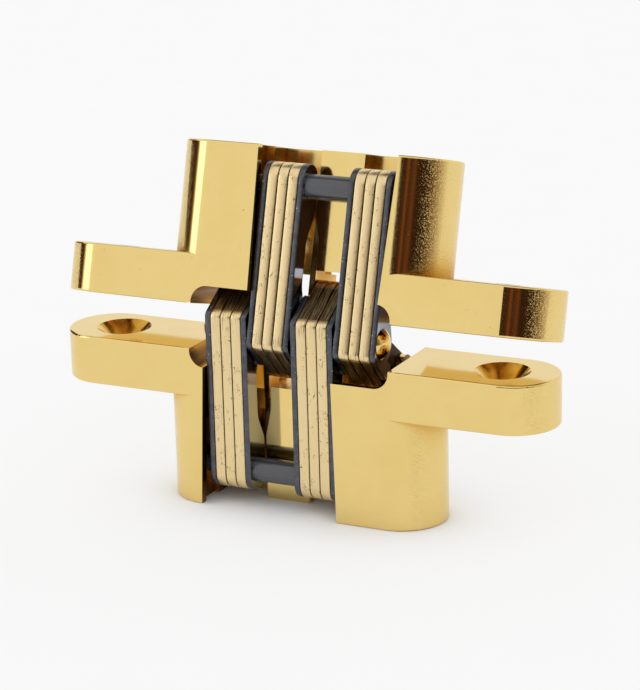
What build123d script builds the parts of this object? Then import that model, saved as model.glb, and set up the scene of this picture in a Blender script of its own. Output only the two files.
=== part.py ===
from build123d import *
import os
from math import acos, asin, atan2, cos, degrees, hypot, radians, sin, tan

# Concealed door hinge: two identical cast leaves joined by two pairs of interleaved link stacks.
# X runs along the leaves, Y from the front to the opening side, Z up out of the lower leaf's face.
# The origin is the middle of the lower leaf's face, and all sizes are in millimetres.

# Leaf casting
plate_length = 95.25
leaf_width = 16.2
plate_thickness = 8.9
body_length = 52.7
body_depth = 29.1
edge_radius = 0.4
recess_length = 38.8
recess_depth = 3.3
recess_corner = 2.9

# Screw holes
screw_spacing = 74.6
screw_hole_diameter = 4.8
countersink_diameter = 10.0
countersink_angle = 82.0

# Link stacks: brass plates between two dark steel side plates
brass_thickness = 1.95
brass_per_stack = 3
steel_thickness = 1.05
plate_play = 0.05
stack_play = 0.25

# Pin centres in the lower leaf, with the hinge standing open by open_angle
open_angle = 16.2
center_inset = 4.1
center_height = 3.55
slide_inset = 4.1
slide_depth = 22.5
pivot_inset = 2.7
pivot_depth = 3.4

# Pins
center_pin_diameter = 3.6
center_head_diameter = 5.4
center_head_height = 1.2
slide_pin_diameter = 4.4
slide_end_diameter = 3.0
slide_end_length = 2.1
pivot_pin_diameter = 2.8
running_play = 0.05
seat_play = 0.02

# Link plate outline
arm_front = 2.8
arm_back = 3.0
arm_waist = 0.8
waist_top = 8.5
waist_bottom = 16.5
waist_run = 4.3
foot_length = 3.9
bend_rise = 2.9
back_arm_slope = 31.0
back_arm_run = 9.4
crook_back = 4.3
crook_drop = 1.2
pivot_eye_radius = 2.6
bend_radius = 1.2
shoulder_radius = 3.5
tail_length = 6.5
tail_width = 3.0
tail_radius = 1.2
crook_radius = 3.0
waist_radius = 5.0

# Pockets in the casting
front_pocket_back = 11.3
exit_ramp_foot = 13.6
exit_knee_back = 12.7
exit_knee_depth = 10.3
exit_rim_depth = 6.9
arm_pocket_depth = 8.9
arm_ramp_front = 1.2
arm_ramp_back = 8.7
rib_front = 7.4
left_wall_draft = 1.2
right_wall_draft = 0.5
lug_radius = 2.4
lug_depth = 7.4
web_front = 7.3
web_back = 11.1
guide_wander = 1.7
guide_play = 0.15
guide_top_depth = 13.1
guide_floor_play = 0.2

# Derived places
front = -leaf_width / 2
back = leaf_width / 2
over = 1.0
center_y = front + center_inset
slide_y = front + slide_inset
pivot_y = back - pivot_inset
brass_stack = brass_per_stack * brass_thickness + (brass_per_stack - 1) * plate_play
stack_width = brass_stack + 2 * (steel_thickness + plate_play)
cell_width = stack_width + stack_play
cell_starts = [-2 * cell_width, -cell_width, 0.0, cell_width]
stack_end = 2 * cell_width - stack_play / 2
lug_thickness = (cell_width - brass_stack - stack_play) / 2

# A half turn about this line through the centre pin carries the lower leaf's pieces onto the upper leaf's
half_open = radians(open_angle) / 2
half_turn_line = Axis((0, center_y, center_height), (0, cos(half_open), -sin(half_open)))


def slab(profile, x_start, x_end):
    """A (y, z) profile carried along X from x_start to x_end."""
    return extrude(Plane.YZ.offset(x_start) * profile, x_end - x_start, dir=(1, 0, 0))


def outline(*points):
    """A plain closed (y, z) outline."""
    return Polygon(*points, align=None)


def rod(diameter, y, z, x_start, x_end):
    """A round bar along X."""
    return slab(Pos(y, z) * Circle(diameter / 2), x_start, x_end)


def upper_twin(shape):
    """The same piece carried to the upper leaf by the half turn."""
    return shape.rotate(half_turn_line, 180)


# Linkage points, as offsets from the centre pin to the link pair that stands in the lower leaf
def upper_pivot_offset():
    """The pivot eye of that link pair: the lower pivot mirrored in the plane half way between the leaves."""
    dy = pivot_y - center_y
    dz = -pivot_depth - center_height
    turn = 2 * half_open
    return dy * cos(turn) - dz * sin(turn), -dy * sin(turn) - dz * cos(turn)


eye_y, eye_z = upper_pivot_offset()
eye_angle = degrees(atan2(eye_z, eye_y))
slide_drop = center_height + slide_depth
slide_offset = slide_y - center_y
foot = -slide_drop - foot_length


def brass_outline():
    """A bent link: slide eye, waisted front arm, shoulder at the centre pin and a back arm to the pivot eye."""
    ramp_end_y = -arm_front + back_arm_run
    ramp_end_z = bend_rise + back_arm_run * tan(radians(back_arm_slope))
    eye_out = radians(eye_angle + 55)
    eye_in = radians(eye_angle - 80)
    corners = [
        ((slide_offset - arm_front, foot), arm_front),
        ((-arm_front, bend_rise), bend_radius),
        ((ramp_end_y, ramp_end_z), shoulder_radius),
        ((eye_y + pivot_eye_radius * cos(eye_out), eye_z + pivot_eye_radius * sin(eye_out)), 0),
        ((eye_y + pivot_eye_radius * cos(eye_in), eye_z + pivot_eye_radius * sin(eye_in)), 0),
        ((crook_back, -crook_drop), crook_radius),
        ((arm_waist, -waist_top), waist_radius),
        ((slide_offset + arm_waist, -waist_bottom), waist_radius),
        ((slide_offset + arm_back, -waist_bottom - waist_run), arm_front),
        ((slide_offset + arm_back, foot), arm_front),
    ]
    edge = FilletPolyline(*[point for point, _ in corners], radius=[r for _, r in corners], close=True)
    plate = make_face(edge) + Pos(eye_y, eye_z) * Circle(pivot_eye_radius)
    plate -= Circle(center_pin_diameter / 2 + running_play)
    plate -= Pos(slide_offset, -slide_drop) * Circle(slide_pin_diameter / 2 + running_play)
    return plate - Pos(eye_y, eye_z) * Circle(pivot_pin_diameter / 2 + running_play)


def steel_outline():
    """A side plate: the same front arm, a round lobe about the centre pin and a short tail along the shoulder's slope."""
    slope = radians(back_arm_slope)
    lobe = arm_front * sin(slope) + bend_rise * cos(slope)
    inner = lobe - tail_width

    def on_slope(along, out):
        """A point so far along the shoulder's slope and so far out from the centre pin."""
        return along * cos(slope) - out * sin(slope), along * sin(slope) + out * cos(slope)

    to_waist = atan2(-waist_top, arm_waist)
    lobe_end = to_waist + acos(lobe / hypot(waist_top, arm_waist))
    corners = [
        ((slide_offset - arm_front, foot), arm_front),
        ((-arm_front, bend_rise), bend_radius),
        (on_slope(tail_length, lobe), tail_radius),
        (on_slope(tail_length, inner), tail_radius),
        (on_slope(inner, inner), 0),
        ((lobe * cos(lobe_end), lobe * sin(lobe_end)), 0),
        ((arm_waist, -waist_top), waist_radius),
        ((slide_offset + arm_waist, -waist_bottom), waist_radius),
        ((slide_offset + arm_back, -waist_bottom - waist_run), arm_front),
        ((slide_offset + arm_back, foot), arm_front),
    ]
    edge = FilletPolyline(*[point for point, _ in corners], radius=[r for _, r in corners], close=True)
    plate = make_face(edge) + Circle(lobe)
    plate -= Circle(center_pin_diameter / 2 + running_play)
    return plate - Pos(slide_offset, -slide_drop) * Circle(slide_pin_diameter / 2 + running_play)


def link_stack(x_start):
    """One stack of plates from left to right, as (name, solid) pairs, for the pair in the lower leaf."""
    place = Pos(center_y, center_height)
    brass = brass_outline()
    steel = steel_outline()
    kinds = [("side_plate_1", steel, steel_thickness)]
    kinds += [(f"brass_plate_{i + 1}", brass, brass_thickness) for i in range(brass_per_stack)]
    kinds += [("side_plate_2", steel, steel_thickness)]
    pieces = []
    x = x_start + stack_play / 2
    for name, profile, thickness in kinds:
        pieces.append((name, slab(place * profile, x, x + thickness)))
        x += thickness + plate_play
    return pieces


def screw_hole(x):
    """A countersunk hole down through the plate."""
    cone_depth = (countersink_diameter - screw_hole_diameter) / 2 / tan(radians(countersink_angle / 2))
    hole = Cylinder(screw_hole_diameter / 2, 3 * plate_thickness)
    cone = Cone(screw_hole_diameter / 2, countersink_diameter / 2, cone_depth,
                align=(Align.CENTER, Align.CENTER, Align.MAX))
    return Pos(x, 0, 0) * (hole + cone)


def face_recess():
    """The shallow trough across the face that takes the shoulders and the centre pin's heads."""
    trough = Rectangle(recess_length, recess_depth + recess_corner + over, align=(Align.CENTER, Align.MIN))
    trough = Pos(0, -recess_depth) * trough
    floor_corners = trough.vertices().group_by(Axis.Y)[0]
    return extrude(Plane.XZ * fillet(floor_corners, recess_corner), leaf_width, both=True)


def front_pocket(x_start):
    """The deep pocket of a sliding arm, with a way out over the back wall when the hinge is open."""
    wall = front + front_pocket_back
    knee = front + exit_knee_back
    rim_slope = (exit_knee_depth - exit_rim_depth) / (back - knee)
    return slab(outline(
        (front - over, over), (front - over, -body_depth - over), (wall, -body_depth - over),
        (wall, -exit_ramp_foot), (knee, -exit_knee_depth), (back + over, -exit_rim_depth + over * rim_slope),
        (back + over, over)), x_start, x_start + cell_width)


def arm_pocket(x_start):
    """The shallow pocket of a pivoted arm, open at the back and ramped at the front."""
    return slab(outline(
        (front - over, over), (front - over, -recess_depth), (front + arm_ramp_front, -recess_depth),
        (front + arm_ramp_back, -arm_pocket_depth), (back + over, -arm_pocket_depth),
        (back + over, over)), x_start, x_start + cell_width)


def pin_window(x_start):
    """The open front between two sliding arms, back to the rib, where their pin crosses."""
    rib = front + rib_front
    return slab(outline(
        (front - over, over), (front - over, -body_depth - over), (rib, -body_depth - over),
        (rib, over)), x_start, x_start + cell_width)


def guide_groove(x_start, x_end):
    """The straight groove in a pocket's side wall that the slide pin's end runs in."""
    half_width = (slide_end_diameter + guide_wander) / 2 + guide_play
    return slab(outline(
        (slide_y - half_width, -guide_top_depth), (slide_y - half_width, -body_depth - over),
        (slide_y + half_width, -body_depth - over), (slide_y + half_width, -guide_top_depth)), x_start, x_end)


def wall_draft(x_wall, x_deep):
    """The wedge that widens a sliding pocket from the recess floor to the bottom, where its core was drawn out."""
    wedge = Polygon((x_wall, -recess_depth), (x_deep, -body_depth), (x_deep, -body_depth - over),
                    (x_wall, -body_depth - over), align=None)
    at_wall = Plane.XZ.offset(-front - front_pocket_back) * wedge
    return extrude(at_wall, front_pocket_back + over, dir=(0, -1, 0))


def pivot_lugs(x_start):
    """The two ears that hold a pivot pin on both sides of an arm's brass plates, each on a web beside the pocket."""
    ear_back = pivot_y + lug_radius
    foot_depth = arm_pocket_depth + over
    ear = Pos(pivot_y, -pivot_depth) * Circle(lug_radius)
    ear += outline(
        (front + web_front, -pivot_depth), (front + web_front, -foot_depth), (front + web_back, -foot_depth),
        (front + web_back, -lug_depth), (ear_back, -lug_depth), (ear_back, -pivot_depth))
    x_end = x_start + cell_width
    return slab(ear, x_start, x_start + lug_thickness) + slab(ear, x_end - lug_thickness, x_end)


def leaf():
    """One cast leaf, face up."""
    plate = extrude(SlotOverall(plate_length, leaf_width), -plate_thickness)
    plate = fillet(plate.edges().group_by(Axis.Z)[0] + plate.edges().group_by(Axis.Z)[-1], edge_radius)
    body = extrude(SlotOverall(body_length, leaf_width), -body_depth)
    body = fillet(body.edges().group_by(Axis.Z)[0], edge_radius)
    casting = plate + body - face_recess()
    for x in (-screw_spacing / 2, screw_spacing / 2):
        casting -= screw_hole(x)
    left, middle_left, middle_right, right = cell_starts
    casting -= front_pocket(left)
    casting -= front_pocket(middle_right)
    casting -= wall_draft(left, left - left_wall_draft)
    casting -= wall_draft(right, right + right_wall_draft)
    casting -= pin_window(middle_left)
    casting -= arm_pocket(middle_left)
    casting -= arm_pocket(right)
    groove_depth = slide_end_length + guide_floor_play
    casting -= guide_groove(left - groove_depth, left)
    casting -= guide_groove(right, right + groove_depth)
    for x_start in (middle_left, right):
        casting += pivot_lugs(x_start)
        bore = pivot_pin_diameter + 2 * seat_play
        casting -= rod(bore, pivot_y, -pivot_depth, x_start - over / 10, x_start + cell_width + over / 10)
    return casting


def slide_pin():
    """The pin across both sliding arms, stepped down at its ends."""
    left = cell_starts[0]
    right = cell_starts[3]
    shoulder = stack_play / 2
    pin = rod(slide_pin_diameter, slide_y, -slide_depth, left + shoulder, right - shoulder)
    return pin + rod(slide_end_diameter, slide_y, -slide_depth, left - slide_end_length, right + slide_end_length)


def center_pin():
    """The pin through all four stacks, with a domed head at each end."""
    seat = stack_end + running_play
    head = center_head_diameter / 2
    shank = center_pin_diameter / 2
    dome = (head ** 2 + center_head_height ** 2) / (2 * center_head_height)
    tip = seat + center_head_height
    half_dome = asin(head / dome) / 2
    shoulder_x = tip - dome + dome * cos(half_dome)
    shoulder_r = dome * sin(half_dome)
    edge = Polyline((-seat, head), (-seat, shank), (seat, shank), (seat, head))
    edge += ThreePointArc((seat, head), (shoulder_x, shoulder_r), (tip, 0))
    edge += Line((tip, 0), (-tip, 0))
    edge += ThreePointArc((-tip, 0), (-shoulder_x, shoulder_r), (-seat, head))
    return Pos(0, center_y, center_height) * revolve(make_face(edge), Axis.X)


def build():
    """Every piece of the hinge by name."""
    lower_leaf = leaf()
    pieces = {"lower_leaf": lower_leaf, "upper_leaf": upper_twin(lower_leaf), "center_pin": center_pin()}
    pieces["lower_slide_pin"] = slide_pin()
    pieces["upper_slide_pin"] = upper_twin(pieces["lower_slide_pin"])
    left, middle_left, middle_right, right = cell_starts
    for number, x_start in enumerate((middle_left, right), 1):
        pin = rod(pivot_pin_diameter, pivot_y, -pivot_depth, x_start, x_start + cell_width)
        pieces[f"lower_pivot_pin_{number}"] = pin
        pieces[f"upper_pivot_pin_{number}"] = upper_twin(pin)
    for number, x_start in enumerate((left, middle_right), 1):
        for name, plate in link_stack(x_start):
            pieces[f"lower_link_{number}_{name}"] = plate
            pieces[f"upper_link_{number}_{name}"] = upper_twin(plate)
    return pieces


os.makedirs("parts", exist_ok=True)
for node, solid in build().items():
    solid.label = node
    export_step(solid, f"parts/{node}.step")
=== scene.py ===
"""A concealed door hinge in polished gold plating, standing part open on a white table."""

import bpy
import numpy as np
from mathutils import Matrix, Vector
from mathutils.geometry import tessellate_polygon


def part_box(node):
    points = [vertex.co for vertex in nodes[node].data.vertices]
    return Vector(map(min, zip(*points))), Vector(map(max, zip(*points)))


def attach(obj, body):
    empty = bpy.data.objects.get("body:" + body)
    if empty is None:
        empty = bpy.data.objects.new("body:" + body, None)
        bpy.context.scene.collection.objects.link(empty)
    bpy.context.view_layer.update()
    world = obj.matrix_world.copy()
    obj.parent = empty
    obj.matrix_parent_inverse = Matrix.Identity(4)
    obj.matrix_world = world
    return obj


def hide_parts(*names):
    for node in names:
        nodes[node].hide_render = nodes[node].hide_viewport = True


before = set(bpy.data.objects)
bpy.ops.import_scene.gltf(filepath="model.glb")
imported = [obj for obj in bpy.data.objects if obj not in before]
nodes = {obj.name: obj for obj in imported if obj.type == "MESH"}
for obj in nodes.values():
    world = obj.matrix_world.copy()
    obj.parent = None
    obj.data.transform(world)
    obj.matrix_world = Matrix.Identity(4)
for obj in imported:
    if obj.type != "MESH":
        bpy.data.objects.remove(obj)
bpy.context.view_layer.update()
MM = 0.001

# Link plates, in millimetres and degrees, in the section across the hinge: y to the back, z up.
# Every place but the center pin's own is measured from the center pin.
CENTER_PIN = np.array([-4.0, 3.55])
CENTER_HOLE, SLIDE_HOLE, PIVOT_HOLE = 1.85, 2.25, 1.45
SLIDE_DROP = 26.05
PIVOT_EYE = np.array([10.96575, 4.05152])
EYE_RADIUS = 2.6
EYE_FROM, EYE_TO = 75.28, -59.72
FOOT = -29.95
BEND_RISE = 2.9
SHOULDER_SLOPE = 31.0
SHOULDER_END = np.array([6.6, 8.5481])
SHOULDER_RADIUS = 3.5
LOBE_RADIUS = 3.928
LOBE_FROM, LOBE_TO = 44.66, -22.0
TAIL_LENGTH, TAIL_WIDTH, TAIL_RADIUS = 6.5, 3.0, 1.2
FRONT_ARM = np.array([
    (0.8, -8.5), (0.8, -16.5), (3.0, -20.8), (3.0, FOOT), (-2.8, FOOT), (-2.8, BEND_RISE)])
FRONT_ARM_RADII = np.array([5.0, 5.0, 2.8, 2.8, 2.8, 1.2])
CROOK, CROOK_RADIUS = np.array([4.3, -1.2]), 3.0
NEARLY_SHARP = 0.02
PLATE_EDGE = 0.13
HALF_OPEN = np.radians(8.1)
CORNER_STEPS, ARC_STEPS, HOLE_STEPS, EDGE_STEPS = 7, 18, 40, 4

# Stacks from left to right: a dark side plate, three brass plates and a dark side plate.
# Each plate has its start in the stack and its thickness, and each seam is shared by two plates.
STACK_STARTS = {"link_1": -16.675, "link_2": 0.125}
PLATE_STARTS = {
    "side_plate_1": (0.0, 1.05), "brass_plate_1": (1.10, 1.95), "brass_plate_2": (3.10, 1.95),
    "brass_plate_3": (5.10, 1.95), "side_plate_2": (7.10, 1.05)}
BRASS_SEAM, STEEL_SEAM = 0.12, 0.06

# Studio, in metres; the table's lift is the share of its light that is a glow
TABLE_SIZE, TABLE_LIFT = 6.0, 0.75
CLOTH_RADIUS, CLOTH_TOP, LEFT_CLOTH_FOOT = 0.9, 0.5, 0.02
CEILING_RADIUS, CEILING_HEIGHT = 0.62, 0.6
CARD_STEPS, CEILING_STEPS, CEILING_RINGS = 32, 48, 12

# Camera, fitted to the photograph: angles in radians, the distance in lengths of a leaf,
# the focal length and the picture's height in pixels, and the sensor in millimetres
LEAF = 0.09525
AROUND, ABOVE, ROLL = 0.4642, 0.2938, -0.0275
AIM = Vector((0.0273, 0, 0.0082)) * LEAF
DISTANCE = 4.902
FOCAL_PIXELS, PICTURE_HEIGHT, SENSOR = 2646.77, 690.0, 36.0


def linear(hex_colour):
    """An sRGB hex colour as linear RGBA."""
    srgb = np.array([int(hex_colour[i:i + 2], 16) for i in (1, 3, 5)]) / 255
    rgb = np.where(srgb <= 0.04045, srgb / 12.92, ((srgb + 0.055) / 1.055) ** 2.4)
    return (*rgb.tolist(), 1.0)


def add(tree, kind, inputs=None, stops=(), **settings):
    """Adds one node: an input is a value or another node's output, and stops are (position, hex) pairs."""
    made = tree.nodes.new(kind)
    for name, value in settings.items():
        setattr(made, name, value)
    for socket, value in (inputs or {}).items():
        if isinstance(value, bpy.types.NodeSocket):
            tree.links.new(value, made.inputs[socket])
        else:
            made.inputs[socket].default_value = value
    for place, (position, colour) in enumerate(stops):
        points = made.color_ramp.elements
        point = points[place] if place < 2 else points.new(position)
        point.position, point.color = position, linear(colour)
    return made


def material(name):
    """An empty material with its Principled shader on the output."""
    made = bpy.data.materials.new(name)
    made.use_nodes = True
    tree = made.node_tree
    tree.nodes.clear()
    shader = add(tree, "ShaderNodeBsdfPrincipled")
    add(tree, "ShaderNodeOutputMaterial", {"Surface": shader.outputs["BSDF"]})
    return made, tree, shader


def gold_plating(name, painted_trough_shade):
    """Brass plating on a buffed metal: a warm mirror. The rounded ends of bodies and plates keep a casting
    grain (drawn at 0.24 mm so that it shows) that breaks up dark reflections. Recesses get a painted shade,
    amber to brown, by local ambient occlusion, and so do the ends of the trough across the face, by the grey
    value given for the trough. Sparse pits are darker as well."""
    cloud_mm, grain_mm, peel_mm, pit_mm, recess_mm = 11, 0.24, 2.4, 0.9, 7
    peel_height, grain_height = 0.04 * MM, 0.028 * MM
    made, tree, shader = material(name)
    coords = add(tree, "ShaderNodeTexCoord")
    place = coords.outputs["Object"]
    side = add(tree, "ShaderNodeSeparateXYZ", {"Vector": coords.outputs["Normal"]})
    rounded = add(tree, "ShaderNodeMath", {0: side.outputs["X"]}, operation="ABSOLUTE")
    spot = add(tree, "ShaderNodeSeparateXYZ", {"Vector": place})
    from_middle = add(tree, "ShaderNodeMath", {0: spot.outputs["X"]}, operation="ABSOLUTE")
    # Stops along the leaf are shares of 50 mm from its middle
    share = add(tree, "ShaderNodeMapRange", {"Value": from_middle.outputs[0], "From Max": 50 * MM})
    at_ends = add(tree, "ShaderNodeValToRGB", {"Fac": share.outputs["Result"]}, stops=[
        (0.39, "#000000"), (0.41, "#FFFFFF"), (0.56, "#FFFFFF"), (0.59, "#000000"), (0.85, "#000000"),
        (0.87, "#FFFFFF")])
    cloud = add(tree, "ShaderNodeTexNoise", {"Vector": place, "Scale": 1 / (cloud_mm * MM), "Detail": 3.0})
    grain = add(tree, "ShaderNodeTexNoise", {
        "Vector": place, "Scale": 1 / (grain_mm * MM), "Detail": 3.0, "Roughness": 0.6})
    peel = add(tree, "ShaderNodeTexNoise", {"Vector": place, "Scale": 1 / (peel_mm * MM), "Detail": 1.0})
    pit = add(tree, "ShaderNodeTexNoise", {"Vector": place, "Scale": 1 / (pit_mm * MM), "Detail": 3.0})
    # Painted shade: local ambient occlusion darkens recesses towards amber and brown
    reach = add(tree, "ShaderNodeAmbientOcclusion", {"Distance": recess_mm * MM}, samples=6, only_local=True)
    painted_recess_shade = add(tree, "ShaderNodeMapRange", {
        "Value": reach.outputs["AO"], "From Min": 0.12, "From Max": 0.88, "To Min": 1.0, "To Max": 0.0})
    pits = add(tree, "ShaderNodeMapRange", {
        "Value": pit.outputs["Fac"], "From Min": 0.72, "From Max": 0.78, "To Max": 0.45})
    buffed = add(tree, "ShaderNodeValToRGB", {"Fac": cloud.outputs["Fac"]}, stops=[
        (0.3, "#E9CC81"), (0.55, "#ECD088"), (0.8, "#E8C97B")])
    # Painted shade on the turned-up ends of the trough across the face, as strong as the grey given for it
    trough = add(tree, "ShaderNodeValToRGB", {"Fac": share.outputs["Result"]}, stops=[
        (0.325, "#000000"), (0.332, painted_trough_shade), (0.386, painted_trough_shade), (0.392, "#000000")])
    turned_up = add(tree, "ShaderNodeMapRange", {
        "Value": rounded.outputs[0], "From Min": 0.2, "From Max": 0.45})
    painted_trough_mask = add(tree, "ShaderNodeMath", {
        0: trough.outputs["Color"], 1: turned_up.outputs["Result"]}, operation="MULTIPLY")
    # Painted shade in recesses and trough ends, together with the real pits, sets the darker colour and a
    # little roughness
    shade_and_pits = add(tree, "ShaderNodeMath", {
        0: painted_recess_shade.outputs["Result"], 1: pits.outputs["Result"]}, operation="MAXIMUM")
    shade_and_pits = add(tree, "ShaderNodeMath", {0: shade_and_pits.outputs[0], 1: painted_trough_mask.outputs[0]}, operation="MAXIMUM")
    shade_and_pit_tone = add(tree, "ShaderNodeValToRGB", {"Fac": shade_and_pits.outputs[0]}, stops=[
        (0.0, "#E2A935"), (0.55, "#CA8C1E"), (1.0, "#5A3A12")])
    blend = add(tree, "ShaderNodeMapRange", {"Value": shade_and_pits.outputs[0], "From Min": 0.0, "From Max": 0.4})
    colour = add(tree, "ShaderNodeMix", {
        "Factor": blend.outputs["Result"], "A": buffed.outputs["Color"], "B": shade_and_pit_tone.outputs["Color"]},
        data_type="RGBA")
    smooth = add(tree, "ShaderNodeMapRange", {
        "Value": grain.outputs["Fac"], "From Min": 0.3, "From Max": 0.75, "To Min": 0.05, "To Max": 0.15})
    satin = add(tree, "ShaderNodeMapRange", {"Value": shade_and_pits.outputs[0], "From Max": 0.25, "To Max": 0.2})
    rough = add(tree, "ShaderNodeMath", {
        0: satin.outputs["Result"], 1: smooth.outputs["Result"]}, operation="ADD")
    waves = add(tree, "ShaderNodeBump", {
        "Height": peel.outputs["Fac"], "Strength": 0.12, "Distance": peel_height})
    grained = add(tree, "ShaderNodeMapRange", {
        "Value": rounded.outputs[0], "From Min": 0.35, "From Max": 0.65, "To Max": 0.8})
    cast = add(tree, "ShaderNodeMath", {
        0: grained.outputs["Result"], 1: at_ends.outputs["Color"]}, operation="MULTIPLY")
    beads = add(tree, "ShaderNodeMapRange", {
        "Value": grain.outputs["Fac"], "From Min": 0.54, "From Max": 0.74})
    bump = add(tree, "ShaderNodeBump", {
        "Height": beads.outputs["Result"], "Strength": cast.outputs[0], "Distance": grain_height,
        "Normal": waves.outputs["Normal"]})
    tree.links.new(colour.outputs["Result"], shader.inputs["Base Color"])
    tree.links.new(rough.outputs[0], shader.inputs["Roughness"])
    tree.links.new(bump.outputs["Normal"], shader.inputs["Normal"])
    shader.inputs["Metallic"].default_value = 1.0
    return made


def link_brass(shoulder_start, shoulder_end):
    """Sheared brass strip: pale satin edges with faint 0.15 mm scratches along them, sparse dark tears and
    short dark splits below the bend. The flat sides, which lie between plates, get a painted brown shade, and
    so do the shoulders, in streaks, from shoulder_start to shoulder_end along the edge in mm."""
    made, tree, shader = material("sheared brass edge")
    along = add(tree, "ShaderNodeUVMap", uv_map="along_edge").outputs["UV"]
    coords = add(tree, "ShaderNodeTexCoord")
    side = add(tree, "ShaderNodeSeparateXYZ", {"Vector": coords.outputs["Normal"]})
    facing = add(tree, "ShaderNodeMath", {0: side.outputs["X"]}, operation="ABSOLUTE")
    flat = add(tree, "ShaderNodeMapRange", {"Value": facing.outputs[0], "From Min": 0.6, "From Max": 0.9})
    # The UV map is in millimetres, so a Scale of 6.6 gives streaks 0.15 mm wide, and 0.25 runs of 4 mm
    fine = add(tree, "ShaderNodeMapping", {"Vector": along, "Scale": (0.25, 6.6, 1.0)})
    streak = add(tree, "ShaderNodeTexNoise", {
        "Vector": fine.outputs["Vector"], "Scale": 1.0, "Detail": 4.0})
    coarse = add(tree, "ShaderNodeMapping", {"Vector": along, "Scale": (0.8, 2.2, 1.0)})
    nick = add(tree, "ShaderNodeTexNoise", {
        "Vector": coarse.outputs["Vector"], "Scale": 1.0, "Detail": 6.0, "Roughness": 0.75})
    tone = add(tree, "ShaderNodeValToRGB", {"Fac": streak.outputs["Fac"]}, stops=[
        (0.3, "#EAD09A"), (0.5, "#EDD4A0"), (0.7, "#EFD8A6")])
    marks = add(tree, "ShaderNodeMapRange", {
        "Value": nick.outputs["Fac"], "From Min": 0.67, "From Max": 0.72})
    torn = add(tree, "ShaderNodeMapping", {"Vector": along, "Scale": (0.5, 1.1, 1.0)})
    tear = add(tree, "ShaderNodeTexNoise", {
        "Vector": torn.outputs["Vector"], "Scale": 1.0, "Detail": 3.0, "Distortion": 0.8})
    off_line = add(tree, "ShaderNodeMath", {0: tear.outputs["Fac"], 1: 0.6}, operation="SUBTRACT")
    off_line = add(tree, "ShaderNodeMath", {0: off_line.outputs[0]}, operation="ABSOLUTE")
    line = add(tree, "ShaderNodeMapRange", {
        "Value": off_line.outputs[0], "From Min": 0.004, "From Max": 0.012, "To Min": 0.85, "To Max": 0.0})
    region = add(tree, "ShaderNodeTexNoise", {"Vector": along, "Scale": 0.23, "Detail": 0.0})
    in_region = add(tree, "ShaderNodeMapRange", {
        "Value": region.outputs["Fac"], "From Min": 0.47, "From Max": 0.53})
    scribble = add(tree, "ShaderNodeMath", {
        0: line.outputs["Result"], 1: in_region.outputs["Result"]}, operation="MULTIPLY")
    run = add(tree, "ShaderNodeSeparateXYZ", {"Vector": along}).outputs["X"]
    before_bend = add(tree, "ShaderNodeMapRange", {
        "Value": run, "From Min": shoulder_start - 5.0, "From Max": shoulder_start - 1.5, "To Max": 0.9})
    split = add(tree, "ShaderNodeMapRange", {
        "Value": streak.outputs["Fac"], "From Min": 0.6, "From Max": 0.65})
    bend_marks = add(tree, "ShaderNodeMath", {
        0: split.outputs["Result"], 1: before_bend.outputs["Result"]}, operation="MULTIPLY")
    marked = add(tree, "ShaderNodeMath", {
        0: marks.outputs["Result"], 1: scribble.outputs[0]}, operation="MAXIMUM")
    marked = add(tree, "ShaderNodeMath", {
        0: marked.outputs[0], 1: bend_marks.outputs[0]}, operation="MAXIMUM")
    up_slope = add(tree, "ShaderNodeMapRange", {
        "Value": run, "From Min": shoulder_start, "From Max": shoulder_start + 0.7})
    off_slope = add(tree, "ShaderNodeMapRange", {
        "Value": run, "From Min": shoulder_end - 0.5, "From Max": shoulder_end + 0.5,
        "To Min": 1.0, "To Max": 0.0})
    slope = add(tree, "ShaderNodeMath", {
        0: up_slope.outputs["Result"], 1: off_slope.outputs["Result"]}, operation="MULTIPLY")
    # Painted shade: the shoulders, streaked along the edge, and the flat sides between plates go dark brown
    slope_shade_streaks = add(tree, "ShaderNodeMapRange", {
        "Value": streak.outputs["Fac"], "From Min": 0.42, "From Max": 0.62, "To Min": 1.0, "To Max": 0.62})
    painted_shade = add(tree, "ShaderNodeMath", {
        0: slope.outputs[0], 1: slope_shade_streaks.outputs["Result"]}, operation="MULTIPLY")
    shade_on_sides_and_slopes = add(tree, "ShaderNodeMath", {
        0: painted_shade.outputs[0], 1: flat.outputs["Result"]}, operation="MAXIMUM")
    # Real marks and the painted shade both take the dark brown and a little more roughness
    marks_and_shade = add(tree, "ShaderNodeMath", {0: marked.outputs[0], 1: shade_on_sides_and_slopes.outputs[0]}, operation="MAXIMUM")
    colour = add(tree, "ShaderNodeMix", {
        "Factor": marks_and_shade.outputs[0], "A": tone.outputs["Color"], "B": linear("#40280C")}, data_type="RGBA")
    smooth = add(tree, "ShaderNodeMapRange", {
        "Value": streak.outputs["Fac"], "From Min": 0.3, "From Max": 0.7, "To Min": 0.26, "To Max": 0.32})
    rough = add(tree, "ShaderNodeMath", {0: marks_and_shade.outputs[0], 1: 0.2, 2: smooth.outputs["Result"]},
                operation="MULTIPLY_ADD")
    bump = add(tree, "ShaderNodeBump", {
        "Height": nick.outputs["Fac"], "Strength": 0.14, "Distance": 0.05 * MM})
    tree.links.new(colour.outputs["Result"], shader.inputs["Base Color"])
    tree.links.new(rough.outputs[0], shader.inputs["Roughness"])
    tree.links.new(bump.outputs["Normal"], shader.inputs["Normal"])
    shader.inputs["Metallic"].default_value = 1.0
    return made


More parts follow.
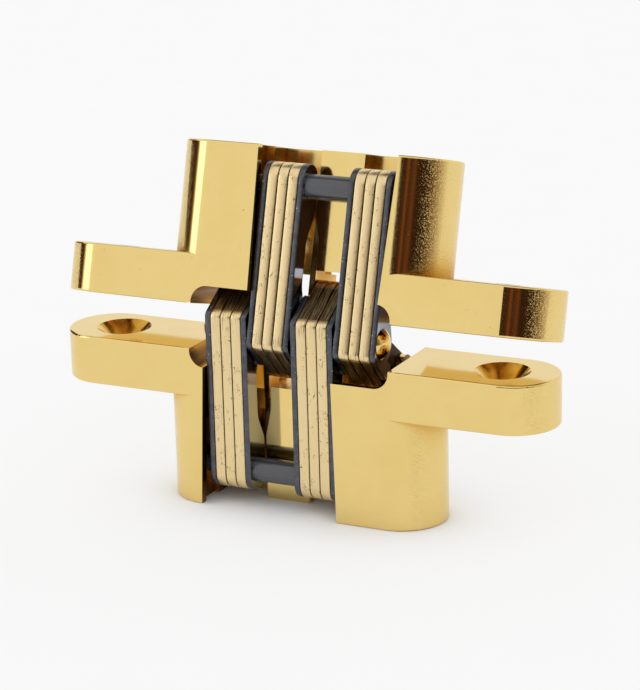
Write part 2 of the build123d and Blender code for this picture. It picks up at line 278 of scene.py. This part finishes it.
def side_plate_steel():
    """Rolled steel plate with a blackened finish: smooth, mirror-like flat sides that get a painted shade, by
    ambient occlusion, where they face another plate or a pocket's wall, darker grained edges where it was
    sheared, and 0.4 mm rubbed specks."""
    skin_mm, speck_mm, facing_mm = 1.4, 0.4, 8
    made, tree, shader = material("blackened steel plate")
    coords = add(tree, "ShaderNodeTexCoord")
    place = coords.outputs["Object"]
    side = add(tree, "ShaderNodeSeparateXYZ", {"Vector": coords.outputs["Normal"]})
    facing = add(tree, "ShaderNodeMath", {0: side.outputs["X"]}, operation="ABSOLUTE")
    flat = add(tree, "ShaderNodeMapRange", {"Value": facing.outputs[0], "From Min": 0.8, "From Max": 0.98})
    skin = add(tree, "ShaderNodeTexNoise", {"Vector": place, "Scale": 1 / (skin_mm * MM), "Detail": 4.0})
    speck = add(tree, "ShaderNodeTexNoise", {"Vector": place, "Scale": 1 / (speck_mm * MM), "Detail": 2.0})
    edge = add(tree, "ShaderNodeValToRGB", {"Fac": skin.outputs["Fac"]}, stops=[
        (0.3, "#515257"), (0.7, "#63656B")])
    rub = add(tree, "ShaderNodeMapRange", {
        "Value": speck.outputs["Fac"], "From Min": 0.66, "From Max": 0.72, "To Max": 0.7})
    rubbed = add(tree, "ShaderNodeMix", {
        "Factor": rub.outputs["Result"], "A": edge.outputs["Color"], "B": linear("#B8BBC2")},
        data_type="RGBA")
    # Painted shade: flat sides go dark where ambient occlusion finds another plate or a wall within 8 mm
    reach = add(tree, "ShaderNodeAmbientOcclusion", {"Distance": facing_mm * MM}, samples=8)
    in_the_open = add(tree, "ShaderNodeMapRange", {
        "Value": reach.outputs["AO"], "From Min": 0.3, "From Max": 0.7})
    painted_shade = add(tree, "ShaderNodeMix", {
        "Factor": in_the_open.outputs["Result"], "A": linear("#5C5D63"), "B": linear("#A6A8B2")},
        data_type="RGBA")
    colour = add(tree, "ShaderNodeMix", {
        "Factor": flat.outputs["Result"], "A": rubbed.outputs["Result"], "B": painted_shade.outputs["Result"]},
        data_type="RGBA")
    rough = add(tree, "ShaderNodeMapRange", {"Value": flat.outputs["Result"], "To Min": 0.34, "To Max": 0.14})
    bump = add(tree, "ShaderNodeBump", {
        "Height": speck.outputs["Fac"], "Strength": 0.12, "Distance": 0.02 * MM})
    tree.links.new(colour.outputs["Result"], shader.inputs["Base Color"])
    tree.links.new(rough.outputs["Result"], shader.inputs["Roughness"])
    tree.links.new(bump.outputs["Normal"], shader.inputs["Normal"])
    shader.inputs["Metallic"].default_value = 1.0
    return made


def pin_lacquer():
    """Dark-grey lacquer on a turned steel rod: a soft gloss over a smooth skin, with faint 0.2 mm turning
    marks round it and a few 0.5 mm chips that show paler metal."""
    turning_mm, round_mm, chip_mm, skin_mm = 0.2, 25, 0.5, 4
    made, tree, shader = material("satin dark lacquer on steel")
    place = add(tree, "ShaderNodeTexCoord").outputs["Object"]
    rings = add(tree, "ShaderNodeMapping", {
        "Vector": place, "Scale": (1 / (turning_mm * MM), 1 / (round_mm * MM), 1 / (round_mm * MM))})
    turning = add(tree, "ShaderNodeTexNoise", {
        "Vector": rings.outputs["Vector"], "Scale": 1.0, "Detail": 2.0})
    chip = add(tree, "ShaderNodeTexNoise", {"Vector": place, "Scale": 1 / (chip_mm * MM), "Detail": 3.0})
    chips = add(tree, "ShaderNodeMapRange", {
        "Value": chip.outputs["Fac"], "From Min": 0.72, "From Max": 0.77, "To Max": 0.5})
    skin = add(tree, "ShaderNodeTexNoise", {"Vector": place, "Scale": 1 / (skin_mm * MM), "Detail": 2.0})
    tone = add(tree, "ShaderNodeValToRGB", {"Fac": skin.outputs["Fac"]}, stops=[
        (0.3, "#343539"), (0.7, "#3A3B3F")])
    colour = add(tree, "ShaderNodeMix", {
        "Factor": chips.outputs["Result"], "A": tone.outputs["Color"], "B": linear("#8A8C92")},
        data_type="RGBA")
    rough = add(tree, "ShaderNodeMapRange", {
        "Value": turning.outputs["Fac"], "From Min": 0.3, "From Max": 0.7, "To Min": 0.2, "To Max": 0.24})
    bump = add(tree, "ShaderNodeBump", {
        "Height": turning.outputs["Fac"], "Strength": 0.01, "Distance": 0.01 * MM})
    tree.links.new(colour.outputs["Result"], shader.inputs["Base Color"])
    tree.links.new(rough.outputs["Result"], shader.inputs["Roughness"])
    tree.links.new(bump.outputs["Normal"], shader.inputs["Normal"])
    shader.inputs["Specular IOR Level"].default_value = 1.0
    return made


def rounded_outline(corners, radii, steps):
    """A closed outline with an arc in each corner: the arc's center lies along the corner's bisector, the
    radius divided by the sine of half the corner away from it."""
    to_last = np.roll(corners, 1, axis=0) - corners
    to_next = np.roll(corners, -1, axis=0) - corners
    to_last /= np.linalg.norm(to_last, axis=1, keepdims=True)
    to_next /= np.linalg.norm(to_next, axis=1, keepdims=True)
    half = np.arccos(np.clip((to_last * to_next).sum(1), -1, 1))[:, None] / 2
    bisector = to_last + to_next
    bisector /= np.linalg.norm(bisector, axis=1, keepdims=True)
    center = corners + bisector * radii[:, None] / np.sin(half)
    spread = np.pi / 2 - half
    turn = np.sign(to_last[:, :1] * to_next[:, 1:] - to_last[:, 1:] * to_next[:, :1])
    facing = np.arctan2(-bisector[:, 1:], -bisector[:, :1])
    angle = facing - turn * spread * np.linspace(-1, 1, steps)[None, :]
    round_center = radii[:, None, None] * np.stack([np.cos(angle), np.sin(angle)], axis=-1)
    return (center[:, None, :] + round_center).reshape(-1, 2)


def arc(center, radius, from_degrees, to_degrees, steps):
    """Points on an arc about a center: radius times the cosine and sine of evenly spaced angles."""
    angle = np.radians(np.linspace(from_degrees, to_degrees, steps))
    return center + radius * np.stack([np.cos(angle), np.sin(angle)], axis=-1)


def circle(center, radius):
    """A closed circle of points about a center."""
    return arc(center, radius, 0, 360, HOLE_STEPS + 1)[:-1]


def inset(loop, distance):
    """Each point of a closed loop moved inwards along the normal of its chord from the last point to the
    next."""
    chord = np.roll(loop, -1, axis=0) - np.roll(loop, 1, axis=0)
    chord /= np.linalg.norm(chord, axis=1, keepdims=True)
    normal = np.stack([chord[:, 1], -chord[:, 0]], axis=-1)
    area = (loop[:, 0] * np.roll(loop[:, 1], -1) - np.roll(loop[:, 0], -1) * loop[:, 1]).sum()
    return loop - normal * distance * np.sign(area)


def half_turn(points):
    """Points turned half round the line through the center pin that lies half way between the leaves: twice
    the part of their arm that lies along the line, less the arm."""
    line = np.array([0.0, np.cos(HALF_OPEN), -np.sin(HALF_OPEN)])
    center = np.array([0.0, *CENTER_PIN])
    arm = points - center
    return center + 2 * (arm @ line)[:, None] * line - arm


def edge_run(outline):
    """The length walked along an outline up to each of its points, in millimetres."""
    return np.concatenate([[0], np.cumsum(np.linalg.norm(np.diff(outline, axis=0), axis=1))])


def link_plate(name, outer, holes, start, thickness, upper):
    """A flat plate: its outline is carried across the thickness on a quarter-round edge of radius r, drawn
    in by r - r cos t where the face is r - r sin t away. The holes go straight through."""
    t = np.linspace(np.pi / 2, 0, EDGE_STEPS)
    across = PLATE_EDGE * (1 - np.sin(t))
    across = np.concatenate([across, thickness - across[::-1]])
    drawn_in = PLATE_EDGE * (1 - np.cos(t))
    drawn_in = np.concatenate([drawn_in, drawn_in[::-1]])
    rim = np.stack([inset(outer, d) for d in drawn_in])
    rings, count = rim.shape[:2]
    x = np.broadcast_to(across[:, None], (rings, count))
    rim_points = np.dstack([x, rim]).reshape(-1, 3)
    here = np.arange(count)
    beside = np.roll(here, -1)
    ring = np.arange(rings - 1)[:, None] * count
    quads = np.stack([ring + here, ring + beside, ring + count + beside, ring + count + here], axis=-1)

    hole_loops = np.concatenate(holes)
    hole_points = len(hole_loops)
    first_hole = len(rim_points)
    near = np.column_stack([np.zeros(hole_points), hole_loops])
    far = np.column_stack([np.full(hole_points, thickness), hole_loops])
    points = np.concatenate([rim_points, near, far])
    turn = np.arange(hole_points).reshape(len(holes), -1)
    after = np.roll(turn, -1, axis=1)
    walls = first_hole + np.stack([turn, turn + hole_points, after + hole_points, after], axis=-1)

    face_loops = [np.column_stack([loop, np.zeros(len(loop))]).tolist() for loop in (rim[0], *holes)]
    triangles = np.array(tessellate_polygon(face_loops))
    near_index = np.concatenate([here, first_hole + np.arange(hole_points)])
    far_index = np.concatenate([
        (rings - 1) * count + here, first_hole + hole_points + np.arange(hole_points)])
    faces = quads.reshape(-1, 4).tolist() + walls.reshape(-1, 4).tolist()
    faces += near_index[triangles].tolist() + far_index[triangles[:, ::-1]].tolist()
    placed = points + np.array([start, *CENTER_PIN])
    if upper:
        placed = half_turn(placed)
    mesh = bpy.data.meshes.new(name)
    mesh.from_pydata((placed * MM).tolist(), [], faces)

    rim_run = np.broadcast_to(edge_run(outer), (rings, count))
    rim_uv = np.stack([rim_run, x + start], axis=-1).reshape(-1, 2)
    flat_uv = np.concatenate([rim_uv, hole_loops, hole_loops])
    layer = mesh.uv_layers.new(name="along_edge")
    corner = np.empty(len(mesh.loops), dtype=np.int32)
    mesh.loops.foreach_get("vertex_index", corner)
    layer.data.foreach_set("uv", flat_uv[corner].astype(np.float32).ravel())
    smooth = np.zeros(len(mesh.polygons), dtype=bool)
    smooth[:quads.size // 4 + walls.size // 4] = True
    mesh.polygons.foreach_set("use_smooth", smooth)
    mesh.update()
    made = bpy.data.objects.new(name, mesh)
    bpy.context.collection.objects.link(made)
    return made


def brass_and_steel_shapes():
    """The outlines, clockwise, and holes of a brass plate and of a side plate: the front arm's rounded
    corners, closed for brass by the shoulder, the eye's arc and the crook, and for steel by the tail on the
    slope and the lobe's arc."""
    arm_corners = len(FRONT_ARM)
    eye = arc(PIVOT_EYE, EYE_RADIUS, EYE_FROM, EYE_TO, ARC_STEPS)
    bent = np.concatenate([FRONT_ARM, [SHOULDER_END], eye[[0, -1]], [CROOK]])
    radii = np.concatenate([FRONT_ARM_RADII, [SHOULDER_RADIUS, NEARLY_SHARP, NEARLY_SHARP, CROOK_RADIUS]])
    corners = rounded_outline(bent, radii, CORNER_STEPS).reshape(len(bent), -1, 2)
    brass = np.concatenate([corners[:arm_corners + 1].reshape(-1, 2), eye, corners[-1]])

    slope = np.radians(SHOULDER_SLOPE)
    along, out = np.array([np.cos(slope), np.sin(slope)]), np.array([-np.sin(slope), np.cos(slope)])
    tail = TAIL_LENGTH * along + np.array([[LOBE_RADIUS], [LOBE_RADIUS - TAIL_WIDTH]]) * out
    lobe = arc(np.zeros(2), LOBE_RADIUS, LOBE_FROM, LOBE_TO, ARC_STEPS)
    straight = np.concatenate([FRONT_ARM, tail, lobe[[0, -1]]])
    radii = np.concatenate([FRONT_ARM_RADII, [TAIL_RADIUS, TAIL_RADIUS, NEARLY_SHARP, NEARLY_SHARP]])
    corners = rounded_outline(straight, radii, CORNER_STEPS).reshape(len(straight), -1, 2)
    steel = np.concatenate([corners[:arm_corners + 2].reshape(-1, 2), lobe])

    pins = [circle(np.zeros(2), CENTER_HOLE), circle(np.array([0.0, -SLIDE_DROP]), SLIDE_HOLE)]
    return (brass, [*pins, circle(PIVOT_EYE, PIVOT_HOLE)]), (steel, pins)


def panel(name, width, height, matrix, shade):
    """A flat rectangle centred on its matrix."""
    corner = np.array([(-1, -1, 0), (1, -1, 0), (1, 1, 0), (-1, 1, 0)]) * (width / 2, height / 2, 0)
    mesh = bpy.data.meshes.new(name)
    mesh.from_pydata(corner.tolist(), [], [(0, 1, 2, 3)])
    made = bpy.data.objects.new(name, mesh)
    made.matrix_world = matrix
    bpy.context.collection.objects.link(made)
    made.data.materials.append(shade)
    return made


def table_white():
    """Matt white table paper: a soft shadow stays on it, and what looks straight at it sees it a little
    lifted by a glow, as on a lit table. Within 20 mm of the hinge the glow is taken back by ambient
    occlusion, a painted shadow over the real one there."""
    shadow_mm, mottle_mm = 20, 50 / 3
    made, tree, shader = material("matt white table")
    place = add(tree, "ShaderNodeTexCoord").outputs["Object"]
    mottle = add(tree, "ShaderNodeTexNoise", {"Vector": place, "Scale": 1 / (mottle_mm * MM)})
    tone = add(tree, "ShaderNodeValToRGB", {"Fac": mottle.outputs["Fac"]}, stops=[
        (0.3, "#F9F9F9"), (0.7, "#FBFBFB")])
    tree.links.new(tone.outputs["Color"], shader.inputs["Base Color"])
    shader.inputs["Roughness"].default_value = 0.9
    shader.inputs["Specular IOR Level"].default_value = 0.0
    seen = add(tree, "ShaderNodeLightPath")
    straight = add(tree, "ShaderNodeMath", {
        0: seen.outputs["Is Camera Ray"], 1: seen.outputs["Is Glossy Ray"]}, operation="MAXIMUM")
    straight = add(tree, "ShaderNodeMath", {
        0: straight.outputs[0], 1: seen.outputs["Is Transmission Ray"]}, operation="MAXIMUM")
    # Painted shadow: the glow is taken back where ambient occlusion finds the hinge within 20 mm
    near = add(tree, "ShaderNodeAmbientOcclusion", {"Distance": shadow_mm * MM}, samples=8)
    lift_outside_painted_shadow = add(tree, "ShaderNodeMapRange", {
        "Value": near.outputs["AO"], "From Min": 0.45, "From Max": 0.92, "To Max": TABLE_LIFT})
    lifted = add(tree, "ShaderNodeMath", {
        0: straight.outputs[0], 1: lift_outside_painted_shadow.outputs["Result"]}, operation="MULTIPLY")
    glow = add(tree, "ShaderNodeEmission", {"Color": linear("#FAFAFA"), "Strength": 1.0})
    both = add(tree, "ShaderNodeMixShader", {
        0: lifted.outputs[0], 1: shader.outputs["BSDF"], 2: glow.outputs["Emission"]})
    tree.links.new(both.outputs["Shader"], tree.nodes["Material Output"].inputs["Surface"])
    return made


def studio_cloth(name, stops):
    """Studio cloth that only reflections show, in tones along its own width."""
    made, tree, shader = material(name)
    tree.nodes.remove(shader)
    width = add(tree, "ShaderNodeUVMap", uv_map="across")
    parts = add(tree, "ShaderNodeSeparateXYZ", {"Vector": width.outputs["UV"]})
    tone = add(tree, "ShaderNodeValToRGB", {"Fac": parts.outputs["X"]}, stops=stops)
    glow = add(tree, "ShaderNodeEmission", {"Color": tone.outputs["Color"]})
    tree.links.new(glow.outputs["Emission"], tree.nodes["Material Output"].inputs["Surface"])
    return made


def card(name, points, shade):
    """A card on a grid of points, rows by columns, that only reflections show; its UV runs along the
    columns."""
    rows, columns = points.shape[:2]
    start = (np.arange(rows - 1)[:, None] * columns + np.arange(columns - 1)).ravel()
    faces = np.stack([start, start + 1, start + columns + 1, start + columns], axis=-1)
    mesh = bpy.data.meshes.new(name)
    mesh.from_pydata(points.reshape(-1, 3).tolist(), [], faces.tolist())
    across = np.broadcast_to(np.linspace(0, 1, columns), (rows, columns)).ravel()
    up = np.repeat(np.linspace(0, 1, rows), columns)
    corner_uv = np.stack([across, up], axis=-1)[faces.ravel()]
    layer = mesh.uv_layers.new(name="across")
    layer.data.foreach_set("uv", corner_uv.astype(np.float32).ravel())
    made = bpy.data.objects.new(name, mesh)
    bpy.context.collection.objects.link(made)
    made.data.materials.append(shade)
    made.visible_camera = made.visible_diffuse = made.visible_shadow = False


def bent_card(name, from_angle, to_angle, low, high, radius, shade):
    """An upright card bent round the hinge: a point at angle a from the front lies at (r sin a, -r cos a)."""
    angle = np.radians(np.linspace(from_angle, to_angle, CARD_STEPS))
    foot = np.stack([radius * np.sin(angle), -radius * np.cos(angle), np.full(CARD_STEPS, low)], axis=-1)
    card(name, np.stack([foot, foot + (0, 0, high - low)]), shade)


def flat_card(name, from_angle, to_angle, inner, outer, height, shade):
    """A level card: a point at angle a from the front and distance r lies at (r sin a, -r cos a)."""
    angle = np.radians(np.linspace(from_angle, to_angle, CEILING_STEPS))[:, None]
    reach = np.linspace(inner, outer, CEILING_RINGS)[None, :]
    level = np.broadcast_to(height, (CEILING_STEPS, CEILING_RINGS))
    card(name, np.stack([reach * np.sin(angle), -reach * np.cos(angle), level], axis=-1), shade)


# Hinge: the castings and pins keep their solids, and each link plate is replaced by one with rounded edges
brass_shape, steel_shape = brass_and_steel_shapes()
brass_run = edge_run(brass_shape[0])
bend_at = CORNER_STEPS * len(FRONT_ARM)
gold = gold_plating("polished brass plating", painted_trough_shade="#F2F2F2")
rivet_gold = gold_plating("polished brass rivet", painted_trough_shade="#000000")
brass = link_brass(brass_run[bend_at - 1], brass_run[bend_at])
side_steel = side_plate_steel()
pin_steel = pin_lacquer()

for name, part in nodes.items():
    part.data.materials.clear()
    finish = gold if name.endswith("leaf") else rivet_gold if name == "center_pin" else pin_steel
    part.data.materials.append(finish)

for side in ("lower", "upper"):
    for stack, stack_start in STACK_STARTS.items():
        for plate, (offset, thickness) in PLATE_STARTS.items():
            is_brass = plate.startswith("brass")
            outer, holes = brass_shape if is_brass else steel_shape
            seam = BRASS_SEAM if is_brass else STEEL_SEAM
            node = f"{side}_{stack}_{plate}"
            piece = link_plate(f"{node}_rounded", outer, holes, stack_start + offset + seam / 2,
                               thickness - seam, side == "upper")
            piece.data.materials.append(brass if is_brass else side_steel)
            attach(piece, f"{side}_links")
            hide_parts(node)

# Studio: a white table, and dark cloths and a ceiling that only the metal mirrors
table_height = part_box("lower_leaf")[0].z
table = panel("table", TABLE_SIZE, TABLE_SIZE, Matrix.Translation((0, 0, table_height)), table_white())
front_cloth = studio_cloth("dark cloth by the camera", [
    (0.0, "#38231A"), (0.10, "#442B20"), (0.15, "#7A4A2F"), (0.20, "#432B22"), (0.30, "#67402B"),
    (0.36, "#34241D"), (0.58, "#3A2920"), (0.70, "#75604C"), (0.82, "#B0A090"), (1.0, "#F7F4F0")])
bent_card("front_cloth", from_angle=-16, to_angle=105, low=table_height, high=CLOTH_TOP,
          radius=CLOTH_RADIUS, shade=front_cloth)
ceiling = studio_cloth("dark studio ceiling", [(0.0, "#3A3430"), (0.55, "#5A524C"), (1.0, "#F5F5F4")])
flat_card("ceiling", from_angle=100, to_angle=260, inner=0.0, outer=CEILING_RADIUS, height=CEILING_HEIGHT,
          shade=ceiling)
left_cloth = studio_cloth("dark cloth on the left", [
    (0.0, "#8A6A50"), (0.3, "#3A2418"), (0.9, "#442A1C"), (1.0, "#A08870")])
bent_card("left_cloth", from_angle=-122, to_angle=-67, low=LEFT_CLOTH_FOOT, high=CLOTH_TOP,
          radius=CLOTH_RADIUS, shade=left_cloth)

# Soft studio light: an even white room and one broad, slightly cool lamp from the left
world = bpy.data.worlds.new("white studio")
bpy.context.scene.world = world
world.use_nodes = True
world.node_tree.nodes["Background"].inputs["Color"].default_value = linear("#FFFFFF")
world.node_tree.nodes["Background"].inputs["Strength"].default_value = 0.96
lamp = bpy.data.lights.new("softbox", "AREA")
lamp.shape, lamp.size, lamp.size_y, lamp.energy = "RECTANGLE", 0.26, 0.5, 0.5
lamp.color = (0.82, 0.9, 1.0)
softbox = bpy.data.objects.new("softbox", lamp)
softbox.location = (-0.65, -0.47, 0.16)
softbox.rotation_euler = (Vector((0, 0, 0)) - softbox.location).to_track_quat("-Z", "Y").to_euler()
bpy.context.collection.objects.link(softbox)

# Camera at the photograph's place
forward = Vector((-np.sin(AROUND) * np.cos(ABOVE), np.cos(AROUND) * np.cos(ABOVE), -np.sin(ABOVE)))
level = Vector((np.cos(AROUND), np.sin(AROUND), 0))
upright = level.cross(forward)
right = np.cos(ROLL) * level + np.sin(ROLL) * upright
up = np.cos(ROLL) * upright - np.sin(ROLL) * level
camera = bpy.data.objects.new("camera", bpy.data.cameras.new("camera"))
standing = Matrix.Translation(AIM - forward * DISTANCE * LEAF)
camera.matrix_world = standing @ Matrix((right, up, -forward)).transposed().to_4x4()
camera.data.sensor_width = SENSOR
camera.data.lens = FOCAL_PIXELS * SENSOR / PICTURE_HEIGHT
camera.data.clip_start, camera.data.clip_end = 0.01, 20.0
bpy.context.collection.objects.link(camera)
bpy.context.scene.camera = camera
bpy.context.scene.view_settings.view_transform = "Standard"
